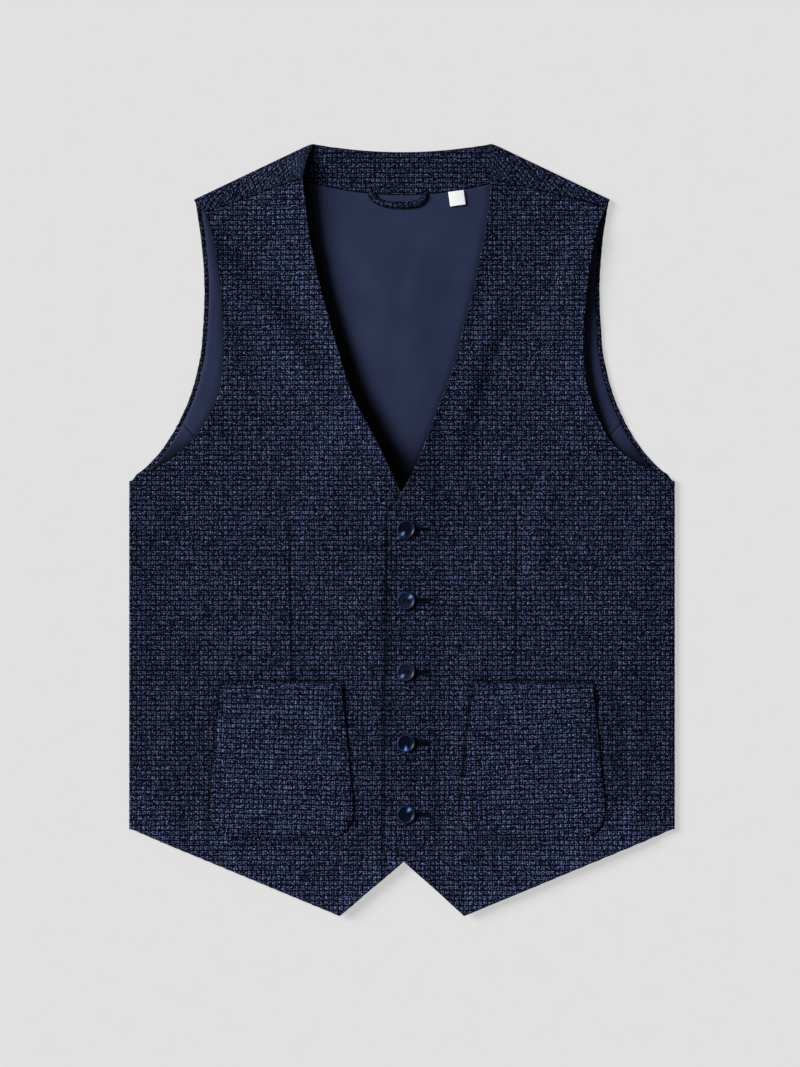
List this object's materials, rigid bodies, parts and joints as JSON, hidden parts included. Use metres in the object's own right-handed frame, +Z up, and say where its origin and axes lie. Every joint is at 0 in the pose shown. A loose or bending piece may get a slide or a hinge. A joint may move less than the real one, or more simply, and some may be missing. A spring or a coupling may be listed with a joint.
{
  "type": "suit waistcoat laid flat",
  "caption": "Navy wool suit waistcoat, buttoned up and laid flat on its back, with a V neck, pointed fronts, patch pockets and a satin lining",
  "frame": {"origin": "on the surface the waistcoat lies on, under the middle of its outline", "axes": "+Y towards the collar, +X towards the wearer's left, which is the right side of a picture taken from above, +Z up from the surface"},
  "size_m": [0.4806, 0.6794, 0.01],
  "materials": {
    "wool": "heathered navy basket-weave wool, matt",
    "satin": "navy satin with a soft sheen",
    "label": "white woven tape, bare",
    "button": "polished dark navy"
  },
  "bodies": {
    "root": {"back_right": "wool", "back_left": "wool", "front_right": "wool", "front_left": "wool", "pocket_right": "wool", "pocket_left": "wool", "neck_facing": "wool", "back_lining": "satin", "side_lining_right": "satin", "side_lining_left": "satin", "hanger_loop": "wool", "size_label": "label", "button_1": "button", "button_2": "button", "button_3": "button", "button_4": "button", "button_5": "button"}
  },
  "joints": []
}
